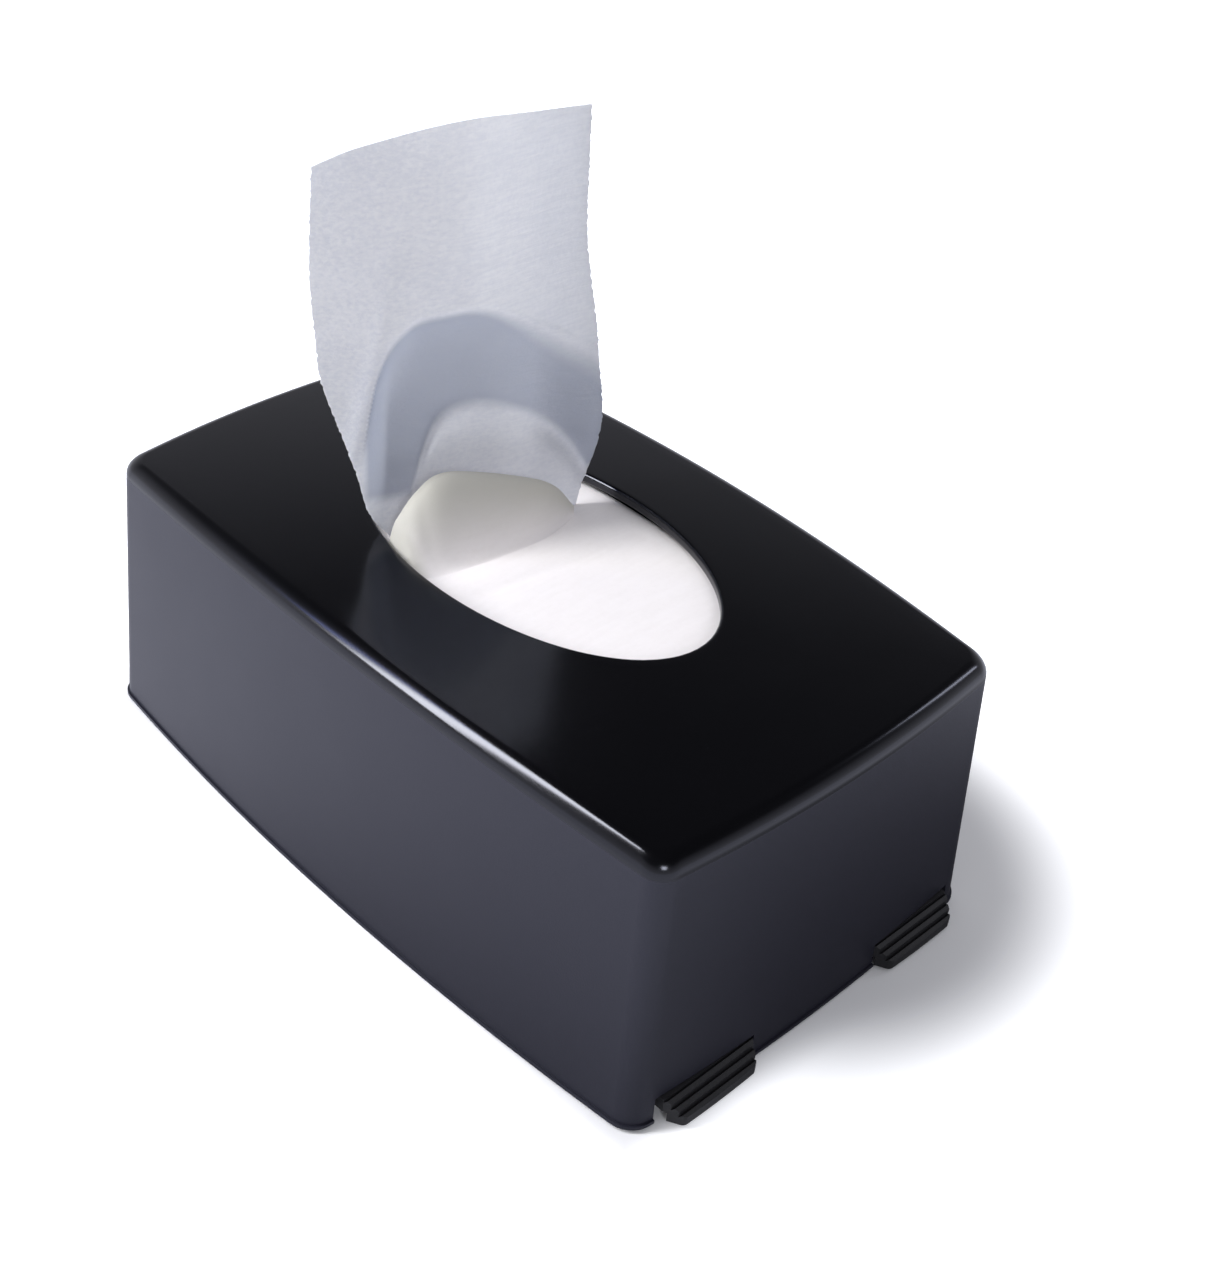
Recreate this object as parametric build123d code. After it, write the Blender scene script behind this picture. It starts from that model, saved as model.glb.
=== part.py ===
from build123d import *
import os
from math import sqrt

# Neck strip dispenser, in millimetres. X is the width, Y the length, Z up.
# The two release tabs are at the -Y end, the hinge is at the +Y end.
# The origin lies on the table, under the middle of the case.

# Case outline: the size at the corners of the bottom edge, and how far each wall bows out
case_length = 190.0
case_width = 111.0
side_bow = 5.2
end_bow_at_base = 2.3
end_bow_at_top = 3.9
corner_radius = 6.0
corner_height = 70.5
draft_inset = 3.4
crown_rise = 3.1
top_edge_radius = 4.0

# Shell of the cover
wall = 2.2
top_thickness = 2.6
base_gap = 1.0
weld_depth = 0.5
small_chamfer = 0.3
lip_height = 0.9
lip_reach = 0.5
oval_width = 59.0
oval_length = 100.6
oval_edge_radius = 0.8
oval_edge_slack = 0.5

# Base plate
plate_thickness = 2.5
plate_clearance = 0.6
foot_radius = 6.0
foot_recess = 0.4
foot_x = 42.0
foot_y = 70.0
screw_slot_width = 4.5
screw_slot_length = 9.0
screw_slot_spacing = 90.0

# Hinge along the bottom of the back wall
hinge_setback = 2.4
hinge_axis_z = 6.0
knuckle_radius = 3.8
knuckle_gap = 0.8
barrel_half_length = 30.5
barrel_end_gap = 0.5
ear_length = 6.0
hinge_pin_radius = 1.25
pin_running_clearance = 0.05
swing_clearance = 0.5

# Release tabs
tab_centre_x = 34.1
tab_width = 27.0
tab_reach = 4.6
tab_top_z = 7.2
tab_end_taper = 2.4
tab_edge_bow = 0.2
tab_corner_radius = 1.6
tab_edge_thickness = 1.6
tab_root_gap = 0.9
tab_gap = 0.5
rib_count = 3
rib_lift = 0.7
rib_crest_share = 0.55
rib_slope_share = 0.4
slide_width = 20.0
slide_thickness = 3.0
slide_gap = 0.1
slide_clearance = 0.3
slide_back_y = -80.0
rail_thickness = 2.0
rail_lip = 1.4
rail_in_front = 9.0
rail_behind = 5.0
hook_thickness = 2.6
hook_width = 12.0
hook_height = 9.0
hook_nose = 1.6
hook_nose_edge = 0.8
hook_clearance = 0.15
ledge_reach = 1.5
ledge_height = 1.6
ledge_rise = 1.0
ledge_margin = 1.0
ledge_clearance = 0.3

# Coil springs behind the tabs
spring_radius = 2.6
spring_wire = 0.6
spring_length = 10.0
spring_drop = 0.6
spring_seat_margin = 1.5
spring_seat_thickness = 2.0
spring_seat_height = 8.0
spigot_length = 2.5
spigot_clearance = 0.3

# Folded strips
pack_width = 65.0
pack_length = 130.0
pack_edge_radius = 2.5
soft_gap = 0.3
leaf_thickness = 0.8
leaf_inset = 1.0
leaf_clearance = 1.0
cradle_rib = 2.0
cradle_height = 7.0
cradle_side_length = 96.0
cradle_end_width = 40.0
cradle_clearance = 0.8
strip_thickness = 0.7
strip_width = 61.0
strip_foot_width = 42.0
strip_stand = 97.0
strip_middle_stand = 27.0
strip_foot_curl = 1.6
strip_middle_curl = 3.2
strip_curl = 4.0
strip_turn = -21.0
strip_distance = 14.3
strip_foot_x = -8.0
strip_middle_x = -11.5
strip_top_x = -17.5
hump_width = 36.0
hump_x = -8.0
hump_height = 14.0
hump_depth = 6.0

# Worked out from the sizes above
case_bottom = base_gap
plate_top = base_gap + plate_thickness
crown_radius = (case_length / 2) ** 2 / (2 * crown_rise)
crown_top = case_bottom + corner_height + crown_rise + (case_width / 2) ** 2 / (2 * crown_radius)
crown_underside = crown_top - top_thickness
hinge_axis_y = case_length / 2 + end_bow_at_base - hinge_setback
tab_outer = tab_centre_x + tab_width / 2
tab_inner = tab_centre_x - tab_width / 2
slide_bottom = plate_top + slide_gap
slide_top = slide_bottom + slide_thickness
ledge_low = tab_top_z + tab_gap + ledge_rise
pack_bottom = plate_top + soft_gap
edge_drop = ((pack_length / 2) ** 2 + (pack_width / 2) ** 2) / (2 * crown_radius)
leaf_top = crown_underside - leaf_clearance
leaf_bottom = leaf_top - edge_drop - leaf_thickness
pack_top = leaf_bottom - soft_gap


def height_share(z):
    """How far up the case z lies, from 0 at its bottom edge to 1 at the corner height."""
    return (z - case_bottom) / corner_height


def end_bow(z):
    """How far the end walls bow out at height z."""
    return end_bow_at_base + (end_bow_at_top - end_bow_at_base) * height_share(z)


def end_wall_y(x, z, inset=0.0):
    """Distance from the middle of the case to an end wall, at one place along it."""
    half_y = case_length / 2 - draft_inset * height_share(z) - inset
    return half_y + end_bow(z) * (1 - (2 * x / case_width) ** 2)


def case_outline(z, inset):
    """The plan of the case at height z, drawn in by the inset."""
    drawn_in = draft_inset * height_share(z) + inset
    half_x = case_width / 2 - drawn_in
    half_y = case_length / 2 - drawn_in
    edges = [
        ThreePointArc((-half_x, -half_y), (0, -half_y - end_bow(z)), (half_x, -half_y)),
        ThreePointArc((half_x, -half_y), (half_x + side_bow, 0), (half_x, half_y)),
        ThreePointArc((half_x, half_y), (0, half_y + end_bow(z)), (-half_x, half_y)),
        ThreePointArc((-half_x, half_y), (-half_x - side_bow, 0), (-half_x, -half_y)),
    ]
    plan = make_face(edges)
    return Pos(0, 0, z) * fillet(plan.vertices(), max(corner_radius - inset, 1.0))


def dome(top):
    """A ball with the curve of the cover's top, its highest point at the given height."""
    return Pos(0, 0, top - crown_radius) * Rot(0, 90, 0) * Sphere(crown_radius)


def case_body(inset, low, top):
    """A solid with the form of the case: sloping bowed walls under a domed top."""
    high = crown_top + 5
    walls = loft([case_outline(low, inset), case_outline(high, inset)], ruled=True)
    return walls & dome(top)


def block(x_range, y_range, z_range):
    """A box between two planes each way."""
    size = [high - low for low, high in (x_range, y_range, z_range)]
    middle = [(high + low) / 2 for low, high in (x_range, y_range, z_range)]
    return Pos(*middle) * Box(*size)


def rod_along_x(x_range, y, z, radius):
    """A round bar along X."""
    length = x_range[1] - x_range[0]
    middle = (x_range[0] + x_range[1]) / 2
    return Pos(middle, y, z) * Rot(0, 90, 0) * Cylinder(radius, length)


def rod_along_y(x, y_range, z, radius):
    """A round bar along Y."""
    length = y_range[1] - y_range[0]
    middle = (y_range[0] + y_range[1]) / 2
    return Pos(x, middle, z) * Rot(90, 0, 0) * Cylinder(radius, length)


def hinge_ear(side):
    """One knuckle of the cover, beside the barrel of the base plate."""
    near = barrel_half_length + barrel_end_gap
    x_range = sorted((side * near, side * (near + ear_length)))
    return rod_along_x(x_range, hinge_axis_y, hinge_axis_z, knuckle_radius)


def catch_ledge(side):
    """The ledge inside the front wall that the hook of a tab holds down."""
    half = hook_width / 2 + ledge_margin
    x_range = sorted((side * (tab_centre_x - half), side * (tab_centre_x + half)))
    wall_y = end_wall_y(tab_centre_x, ledge_low, wall)
    y_range = (-wall_y - wall / 2, -wall_y + ledge_reach)
    return block(x_range, y_range, (ledge_low, ledge_low + ledge_height))


def make_cover():
    """The moulded cover: domed top with the oval mouth, notches for the tabs, hinge ears."""
    outer = case_body(0, case_bottom, crown_top)
    top_edges = outer.edges().filter_by(lambda edge: edge.center().Z > corner_height - draft_inset)
    outer = fillet(top_edges, top_edge_radius)
    lip_plan = case_outline(case_bottom, -lip_reach)
    cover = outer + extrude(lip_plan, lip_height)
    cover -= case_body(wall, 0, crown_underside)
    for side in (-1, 1):
        cover += [hinge_ear(side), catch_ledge(side)]
    mouth = extrude(Ellipse(oval_width / 2, oval_length / 2), corner_height / 2, both=True)
    cover -= Pos(0, 0, crown_top) * mouth
    rim = cover.edges().filter_by(is_mouth_edge)
    cover = fillet(rim, oval_edge_radius)
    for side in (-1, 1):
        low, high = tab_inner - tab_gap, tab_outer + tab_gap
        x_range = sorted((side * low, side * high))
        y_range = (-case_length, 2 * wall - case_length / 2)
        cover -= block(x_range, y_range, (0, tab_top_z + tab_gap))
    relief = knuckle_radius + knuckle_gap
    reach = barrel_half_length + barrel_end_gap
    cover -= block((-reach, reach), (hinge_axis_y - relief, case_length), (0, hinge_axis_z))
    cover -= rod_along_x((-reach, reach), hinge_axis_y, hinge_axis_z, relief)
    cover -= block((-reach, reach), (hinge_axis_y, case_length), (0, hinge_axis_z + relief))
    pin_hole = hinge_pin_radius + pin_running_clearance
    cover -= rod_along_x((-case_width / 2, case_width / 2), hinge_axis_y, hinge_axis_z, pin_hole)
    return cover


def is_mouth_edge(edge):
    """True for the two edges round the oval mouth."""
    box = edge.bounding_box()
    off_length = abs(box.size.Y - oval_length)
    off_width = abs(box.size.X - oval_width)
    return max(off_length, off_width) < oval_edge_slack


def cradle():
    """Low ribs on the base plate that keep the folded strips in place."""
    half_x = pack_width / 2 + cradle_clearance
    half_y = pack_length / 2 + cradle_clearance
    z_range = (plate_top - weld_depth, plate_top + cradle_height)
    ribs = []
    for side in (-1, 1):
        x_range = sorted((side * half_x, side * (half_x + cradle_rib)))
        ribs.append(block(x_range, (-cradle_side_length / 2, cradle_side_length / 2), z_range))
        y_range = sorted((side * half_y, side * (half_y + cradle_rib)))
        ribs.append(block((-cradle_end_width / 2, cradle_end_width / 2), y_range, z_range))
    return ribs


def tab_guides(side):
    """Two rails with lips that hold one tab down, and the seat of its spring."""
    parts = []
    low = plate_top - weld_depth
    y_range = (slide_back_y - rail_in_front, slide_back_y + rail_behind)
    lip_low = slide_top + slide_clearance
    for edge in (-1, 1):
        inner = tab_centre_x + edge * (slide_width / 2 + slide_clearance)
        x_range = sorted((side * inner, side * (inner + edge * rail_thickness)))
        parts.append(block(x_range, y_range, (low, lip_low + rail_lip)))
        x_range = sorted((side * (inner - edge * rail_lip), side * (inner + edge * rail_thickness)))
        parts.append(block(x_range, y_range, (lip_low, lip_low + rail_lip)))
    seat_y = slide_back_y + spring_length
    parts.append(spring_seat(side, (seat_y, seat_y + spring_seat_thickness), low))
    parts.append(spigot(side, (seat_y - spigot_length, seat_y + spring_seat_thickness / 2)))
    return parts


def spring_seat(side, y_range, low):
    """An upright wall that one end of a spring bears on."""
    half = spring_radius + spring_seat_margin
    x_range = (side * tab_centre_x - half, side * tab_centre_x + half)
    return block(x_range, y_range, (low, plate_top + spring_seat_height))


def spring_axis_z():
    """Height of the springs' centre line."""
    return slide_top + spring_radius - spring_drop


def spigot(side, y_range):
    """A round peg inside the end of a spring."""
    radius = spring_radius - spring_wire - spigot_clearance
    return rod_along_y(side * tab_centre_x, y_range, spring_axis_z(), radius)


def make_base_plate():
    """The base plate, inside the walls of the cover, with the hinge barrel at the back."""
    inset = wall + plate_clearance
    plate = loft([case_outline(base_gap, inset), case_outline(plate_top, inset)])
    wall_setback = hinge_axis_y - (case_length / 2 - wall)
    sweep = sqrt((hinge_axis_z - case_bottom) ** 2 + wall_setback**2)
    back_cut = hinge_axis_y - sweep - swing_clearance
    for side in (-1, 1):
        x_range = sorted((side * barrel_half_length, side * case_width))
        plate -= block(x_range, (back_cut, case_length), (0, 2 * plate_top))
    half = barrel_half_length
    plate -= block((-half, half), (hinge_axis_y, case_length), (0, 2 * plate_top))
    barrel = rod_along_x((-half, half), hinge_axis_y, hinge_axis_z, knuckle_radius)
    web = block((-half, half), (hinge_axis_y - knuckle_radius, hinge_axis_y), (base_gap, hinge_axis_z))
    plate += [barrel, web]
    plate -= rod_along_x((-half, half), hinge_axis_y, hinge_axis_z, hinge_pin_radius)
    plate += cradle()
    for side in (-1, 1):
        plate += tab_guides(side)
    for x in (-foot_x, foot_x):
        for y in (-foot_y, foot_y):
            plate -= Pos(x, y, base_gap) * Cylinder(foot_radius, 2 * foot_recess)
    slot = SlotOverall(screw_slot_length, screw_slot_width)
    for y in (-screw_slot_spacing / 2, screw_slot_spacing / 2):
        plate -= Pos(0, y, 0) * extrude(Rot(0, 0, 90) * slot, 2 * plate_top)
    return plate


def make_foot(x, y):
    """A round non-slip pad, set in its recess under the base plate."""
    pad = Pos(x, y, (base_gap + foot_recess) / 2) * Cylinder(foot_radius, base_gap + foot_recess)
    return chamfer(pad.edges().group_by(Axis.Z)[0], small_chamfer)


def make_hinge_pin():
    """The steel pin, held in the barrel and free to turn in the ears of the cover."""
    half = barrel_half_length + barrel_end_gap + ear_length
    pin = rod_along_x((-half, half), hinge_axis_y, hinge_axis_z, hinge_pin_radius)
    return chamfer(pin.edges().filter_by(GeomType.CIRCLE), small_chamfer)


def tab_wall_y():
    """Where the front wall stands at the middle of a tab."""
    return -end_wall_y(tab_centre_x, tab_top_z)


def finger_grip():
    """The stepped grip of a tab outside the case, seen from the side, as a profile in Y and Z."""
    wall_y = tab_wall_y()
    outer_y = wall_y - tab_reach
    root_y = wall_y + wall
    front_y = wall_y - tab_root_gap
    step_y = tab_reach / rib_count
    step_z = (tab_top_z - base_gap - tab_edge_thickness) / rib_count
    groove = step_z * rib_slope_share
    points = [(root_y, slide_bottom), (front_y, slide_bottom), (front_y, base_gap), (outer_y, base_gap)]
    for rib in reversed(range(rib_count)):
        y = wall_y - (rib + 1) * step_y
        z = tab_top_z - (rib + 1) * step_z
        points += [(y, z + rib_lift), (y + step_y * rib_crest_share, z + rib_lift + groove)]
        points += [(y + step_y, z + groove)]
    points += [(wall_y, tab_top_z), (root_y, tab_top_z)]
    return points


def grip_plan():
    """The grip seen from above: tapered ends and a bowed outer edge with round corners."""
    half = tab_width / 2
    outer_half = half - tab_end_taper
    root_y = tab_wall_y() + wall
    outer_y = tab_wall_y() - tab_reach
    corner_y = outer_y + tab_edge_bow
    ends = Polyline((-outer_half, corner_y), (-half, tab_wall_y()), (-half, root_y), (half, root_y),
                    (half, tab_wall_y()), (outer_half, corner_y))
    edge = ThreePointArc((outer_half, corner_y), (0, outer_y), (-outer_half, corner_y))
    plan = make_face([*ends.edges(), edge])
    return fillet(plan.vertices().group_by(Axis.Y)[0], tab_corner_radius)


def tab_hook(centre):
    """The hook behind the front wall, its nose over the ledge of the cover."""
    nose_y = ledge_reach - end_wall_y(tab_centre_x, ledge_low, wall) + hook_clearance
    stem_y = nose_y + hook_nose
    back_y = stem_y + hook_thickness
    hook_top = slide_top + hook_height
    nose_low = ledge_low + ledge_height + ledge_clearance
    x_range = (centre - hook_width / 2, centre + hook_width / 2)
    stem = block(x_range, (stem_y, back_y), (slide_top - weld_depth, hook_top))
    outline = [(back_y, nose_low), (nose_y, nose_low), (nose_y, nose_low + hook_nose_edge)]
    outline += [(stem_y, hook_top), (back_y, hook_top)]
    nose = extrude(Plane.YZ * make_face(Polyline(*outline, close=True)), hook_width / 2, both=True)
    return stem + Pos(centre, 0, 0) * nose


def make_release_tab(side):
    """One tab: the ribbed grip, the slide under the rails, the hook and the spring seat."""
    centre = side * tab_centre_x
    profile = Plane.YZ * make_face(Polyline(*finger_grip(), close=True))
    grip = extrude(profile, tab_width / 2, both=True) & extrude(grip_plan(), 2 * tab_top_z)
    half = slide_width / 2
    y_range = (tab_wall_y() + wall - weld_depth, slide_back_y)
    slide = block((centre - half, centre + half), y_range, (slide_bottom, slide_top))
    seat_range = (slide_back_y - spring_seat_thickness, slide_back_y)
    seat = spring_seat(side, seat_range, slide_top - weld_depth)
    peg = spigot(side, (slide_back_y - spring_seat_thickness / 2, slide_back_y + spigot_length))
    return Pos(centre, 0, 0) * grip + slide + tab_hook(centre) + seat + peg


def make_tab_spring(side):
    """The space of one coil spring, from the seat on the tab to the seat on the base plate."""
    y_range = (slide_back_y, slide_back_y + spring_length)
    x = side * tab_centre_x
    outside = rod_along_y(x, y_range, spring_axis_z(), spring_radius)
    return outside - rod_along_y(x, y_range, spring_axis_z(), spring_radius - spring_wire)


def make_strip_pack():
    """The folded strips under the uppermost one, pressed into a block."""
    half_x = pack_width / 2
    half_y = pack_length / 2
    pack = block((-half_x, half_x), (-half_y, half_y), (pack_bottom, pack_top))
    return fillet(pack.edges().filter_by(Axis.Z), pack_edge_radius)


def make_top_leaf():
    """The uppermost folded strip, which swells to the same dome as the cover above it."""
    half_x = pack_width / 2 - leaf_inset
    half_y = pack_length / 2 - leaf_inset
    leaf = block((-half_x, half_x), (-half_y, half_y), (leaf_bottom, crown_top))
    return leaf & dome(leaf_top)


def leaf_section(z, half_width, bulge, thickness):
    """A thin curved strip of paper cut across at height z, before it is turned into place."""
    quarter = half_width / 2
    front = [(-half_width, 0), (-quarter, -bulge), (0, -bulge / 4), (quarter, bulge / 2), (half_width, 0)]
    back = [(x, y + thickness) for x, y in reversed(front)]
    return Pos(0, 0, z) * make_face(
        [
            ThreePointArc(*front[:3]),
            ThreePointArc(*front[2:]),
            Line(front[-1], back[0]),
            ThreePointArc(*back[:3]),
            ThreePointArc(*back[2:]),
            Line(back[-1], front[0]),
        ]
    )


def place_strip(shape, forward):
    """Turn an upright strip as it stands in the mouth, and set it its distance back."""
    return Rot(0, 0, strip_turn) * Pos(0, strip_distance - forward, 0) * shape


def make_standing_strip():
    """The strip that stands up out of the mouth, drawn in at its foot and leaning to one side."""
    low = leaf_top + soft_gap
    half = strip_width / 2
    stations = [
        (low, strip_foot_width / 2, strip_foot_x, strip_foot_curl),
        (low + strip_middle_stand, half, strip_middle_x, strip_middle_curl),
        (low + strip_stand, half, strip_top_x, strip_curl),
    ]
    sections = [
        Pos(x, 0, 0) * leaf_section(z, width, curl, strip_thickness) for z, width, x, curl in stations
    ]
    return place_strip(loft(sections), 0)


def make_raised_leaf():
    """The next strip, lifted into a low hump in front of the standing one."""
    low = leaf_top + soft_gap
    half = hump_width / 2
    foot = Line((-half, low), (half, low))
    back = ThreePointArc((half, low), (0, low + hump_height), (-half, low))
    hump = extrude(Plane.XZ * make_face([foot, back]), hump_depth / 2, both=True)
    return place_strip(Pos(hump_x, 0, 0) * hump, hump_depth)


def export_parts():
    """Write each piece to its own file."""
    pieces = {
        "cover": make_cover(),
        "base_plate": make_base_plate(),
        "hinge_pin": make_hinge_pin(),
        "strip_pack": make_strip_pack(),
        "top_leaf": make_top_leaf(),
        "raised_leaf": make_raised_leaf(),
        "standing_strip": make_standing_strip(),
    }
    for name, side in (("left", -1), ("right", 1)):
        pieces[f"{name}_release_tab"] = make_release_tab(side)
        pieces[f"{name}_tab_spring"] = make_tab_spring(side)
        pieces[f"front_{name}_foot"] = make_foot(side * foot_x, -foot_y)
        pieces[f"rear_{name}_foot"] = make_foot(side * foot_x, foot_y)
    os.makedirs("parts", exist_ok=True)
    for name, shape in pieces.items():
        export_step(shape, f"parts/{name}.step")


export_parts()
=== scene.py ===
import math

import bmesh
import bpy
from mathutils import Matrix, Vector, noise


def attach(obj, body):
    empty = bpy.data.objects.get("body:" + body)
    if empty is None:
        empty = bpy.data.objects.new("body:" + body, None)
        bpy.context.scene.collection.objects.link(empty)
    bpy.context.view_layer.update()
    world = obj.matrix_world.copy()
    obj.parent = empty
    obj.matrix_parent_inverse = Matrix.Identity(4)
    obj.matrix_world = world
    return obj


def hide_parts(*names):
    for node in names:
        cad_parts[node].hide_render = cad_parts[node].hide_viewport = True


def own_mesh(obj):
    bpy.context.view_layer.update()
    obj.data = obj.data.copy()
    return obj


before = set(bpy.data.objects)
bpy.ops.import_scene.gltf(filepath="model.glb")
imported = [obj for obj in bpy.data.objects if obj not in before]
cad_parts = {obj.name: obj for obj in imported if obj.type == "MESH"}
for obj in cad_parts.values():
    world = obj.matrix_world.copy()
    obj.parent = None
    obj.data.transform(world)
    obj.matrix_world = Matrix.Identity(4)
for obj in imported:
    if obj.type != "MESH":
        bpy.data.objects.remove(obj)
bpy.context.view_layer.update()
print("frame loaded")

mm = 0.001
cameraPlace = {
    "turn": -47.2,
    "rise": 36.65,
    "roll": 5.4,
    "target": (0.01971, -0.0055, 0.041),
    "distance": 0.44997,
    "lens": 51.94,
}
viewTurn, viewRise, viewRoll = (math.radians(cameraPlace[key]) for key in ("turn", "rise", "roll"))
viewBack = Vector(
    (math.sin(viewTurn) * math.cos(viewRise), -math.cos(viewTurn) * math.cos(viewRise), math.sin(viewRise))
)
cameraSpot = Vector(cameraPlace["target"]) + viewBack * cameraPlace["distance"]


def clearSelection():
    for piece in bpy.context.selected_objects:
        piece.select_set(False)


def makeActive(piece):
    clearSelection()
    piece.select_set(True)
    bpy.context.view_layer.objects.active = piece


def startEdit(piece):
    makeActive(piece)
    bpy.ops.object.mode_set(mode="EDIT")
    bpy.ops.mesh.select_all(action="DESELECT")


def endEdit():
    bpy.ops.object.mode_set(mode="OBJECT")


def pickFaces(piece, wanted):
    bpy.ops.mesh.select_mode(type="FACE")
    bpy.ops.mesh.select_all(action="DESELECT")
    mesh = bmesh.from_edit_mesh(piece.data)
    for face in mesh.faces:
        face.select = wanted(face.calc_center_median(), face.normal)
    mesh.select_flush_mode()
    bmesh.update_edit_mesh(piece.data)


def pickEdges(piece, wanted):
    bpy.ops.mesh.select_mode(type="EDGE")
    bpy.ops.mesh.select_all(action="DESELECT")
    mesh = bmesh.from_edit_mesh(piece.data)
    for edge in mesh.edges:
        edge.select = wanted(edge.verts[0].co, edge.verts[1].co)
    mesh.select_flush_mode()
    bmesh.update_edit_mesh(piece.data)


def addModifier(piece, kind, **settings):
    makeActive(piece)
    modifier = piece.modifiers.new(kind.lower(), kind)
    for key, value in settings.items():
        setattr(modifier, key, value)
    bpy.ops.object.modifier_apply(modifier=modifier.name)


def joinPieces(first, others):
    makeActive(first)
    for piece in others:
        piece.select_set(True)
    bpy.ops.object.join()


def applyPlace(piece):
    makeActive(piece)
    bpy.ops.object.transform_apply(location=True, rotation=True, scale=True)


def settle(piece, angle):
    # edges that turn by less than angle, in degrees, are shaded smooth
    applyPlace(piece)
    bpy.ops.object.shade_smooth_by_angle(angle=math.radians(angle))


def ease(value):
    # soft rise from 0 to 1
    value = min(max(value, 0.0), 1.0)
    return value * value * (3 - 2 * value)


def easeFrom(value, start, width):
    return ease((value - start) / width)


def curveAt(points, place):
    # smooth curve through (place, value) points, held level past its ends
    points = sorted(points)
    if place <= points[0][0]:
        return points[0][1]
    if place >= points[-1][0]:
        return points[-1][1]
    last = len(points) - 1
    i = max(k for k in range(last) if points[k][0] <= place)
    x0, y0 = points[i]
    x1, y1 = points[i + 1]
    before = points[max(i - 1, 0)]
    after = points[min(i + 2, last)]
    slopeIn = (y1 - before[1]) / (x1 - before[0])
    slopeOut = (after[1] - y0) / (after[0] - x0)
    span = x1 - x0
    t = (place - x0) / span
    a = (2 * t**3 - 3 * t**2 + 1) * y0 + (t**3 - 2 * t**2 + t) * span * slopeIn
    return a + (3 * t**2 - 2 * t**3) * y1 + (t**3 - t**2) * span * slopeOut


# Wire lets shader sums be written as plain sums
class Wire:
    def __init__(self, finish, socket):
        self.finish = finish
        self.socket = socket

    def maths(self, operation, *values):
        return self.finish.node("ShaderNodeMath", {"operation": operation}, dict(enumerate(values)))

    def __add__(self, other):
        return self.maths("ADD", self, other)

    def __radd__(self, other):
        return self.maths("ADD", other, self)

    def __sub__(self, other):
        return self.maths("SUBTRACT", self, other)

    def __rsub__(self, other):
        return self.maths("SUBTRACT", other, self)

    def __mul__(self, other):
        return self.maths("MULTIPLY", self, other)


class Finish:
    # the shader nodes of a material or of the world
    def __init__(self, owner, constants):
        owner.use_nodes = True
        self.owner = owner
        self.tree = owner.node_tree
        self.shader = self.tree.nodes.get("Principled BSDF")
        for socket, value in constants.items():
            self.shader.inputs[socket].default_value = value

    def feed(self, socket, value):
        if isinstance(value, Wire):
            self.tree.links.new(value.socket, socket)
        else:
            socket.default_value = value

    def node(self, kind, settings, sockets, output=0):
        made = self.tree.nodes.new(kind)
        for key, value in settings.items():
            if key == "stops":
                ramp = made.color_ramp.elements
                while len(ramp) < len(value):
                    ramp.new(0.5)
                for stop, (place, colour) in zip(ramp, value):
                    stop.position = place
                    stop.color = colour
            else:
                setattr(made, key, value)
        for key, value in sockets.items():
            self.feed(made.inputs[key], value)
        return Wire(self, made.outputs[output])

    def place(self, scale=(1, 1, 1), turn=(0, 0, 0)):
        # Object coordinates, stretched and turned
        spot = self.node("ShaderNodeTexCoord", {}, {}, "Object")
        return self.node("ShaderNodeMapping", {}, {"Vector": spot, "Rotation": turn, "Scale": scale})

    def axis(self, name):
        spot = self.node("ShaderNodeTexCoord", {}, {}, "Object")
        return self.node("ShaderNodeSeparateXYZ", {}, {0: spot}, name)

    def noise(self, vector, scale, detail, rough):
        sockets = {"Vector": vector, "Scale": scale, "Detail": detail, "Roughness": rough}
        return self.node("ShaderNodeTexNoise", {}, sockets)

    def step(self, value, low, high):
        # soft change from 0 to 1 between low and high
        settings = {"interpolation_type": "SMOOTHSTEP"}
        return self.node("ShaderNodeMapRange", settings, {0: value, 1: low, 2: high})

    def blendColour(self, factor, first, second):
        # sockets 0, 6 and 7 are the factor and the two colours
        return self.node("ShaderNodeMix", {"data_type": "RGBA"}, {0: factor, 6: first, 7: second}, 2)

    def bump(self, height, depth):
        return self.node("ShaderNodeBump", {}, {"Height": height, "Distance": depth})

    def finish(self, **links):
        # Base_Color reaches the socket called Base Color
        for name, value in links.items():
            self.feed(self.shader.inputs[name.replace("_", " ")], value)
        return self.owner


def makeFinish(name, constants):
    return Finish(bpy.data.materials.new(name), constants)


def dress(piece, material):
    piece.data.materials.clear()
    piece.data.materials.append(material)


coverLook = {
    "glossColour": (0.0018, 0.0018, 0.0024, 1),
    "satinColour": (0.013, 0.013, 0.021, 1),
    "satinRoughness": 0.40,
    "glossRoughness": 0.17,
    "domeTop": 0.07566,
    "domeRadius": 1.4556,
    "satinStart": (0.0041, 0.0047),
    "grainSize": 2600,
    "grainDepth": 0.00003,
    "smudgeSize": 38,
    "smudgeDepth": 0.08,
}


def makeCoverFinish(look):
    # polished domed top with its rounded edge, satin walls; depth is measured down from the dome
    constants = {"IOR": 1.5, "Specular IOR Level": 0.5, "Specular Tint": (0.86, 0.88, 1, 1)}
    made = makeFinish("blackCoverPlastic", constants)
    x, y = made.axis("X"), made.axis("Y")
    depth = look["domeTop"] - made.axis("Z") - (x * x + y * y) * (0.5 / look["domeRadius"])
    satin = made.step(depth, *look["satinStart"])
    smudge = made.noise(made.place(), look["smudgeSize"], 4.0, 0.6)
    grain = made.noise(made.place(), look["grainSize"], 2.0, 0.5)
    rough = satin * (look["satinRoughness"] - look["glossRoughness"]) + look["glossRoughness"]
    return made.finish(
        Base_Color=made.blendColour(satin, look["glossColour"], look["satinColour"]),
        Roughness=rough + (smudge - 0.5) * look["smudgeDepth"],
        Normal=made.bump(grain * satin, look["grainDepth"]),
    )


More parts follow.
